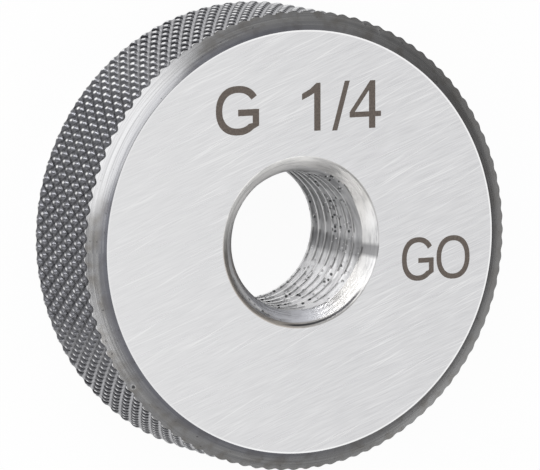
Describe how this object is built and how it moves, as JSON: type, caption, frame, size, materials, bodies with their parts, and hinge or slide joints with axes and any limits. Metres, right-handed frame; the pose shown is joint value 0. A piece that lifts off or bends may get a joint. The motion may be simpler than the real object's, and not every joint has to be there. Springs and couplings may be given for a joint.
{
  "type": "thread ring gauge",
  "caption": "Knurled steel ring with a central threaded bore, for checking an external pipe thread by hand.",
  "frame": {"origin": "centre of the back face, on the bore axis, where the ring rests", "axes": "+Z along the bore axis, out of the marked face; +Y towards the top of the marking, +X along its lines"},
  "size_m": [0.038, 0.038, 0.012],
  "materials": {
    "hardened_steel": "ground faces, turned chamfers, dark diamond-knurled rim"
  },
  "bodies": {
    "root": {"gauge_ring": "hardened_steel"}
  },
  "joints": []
}
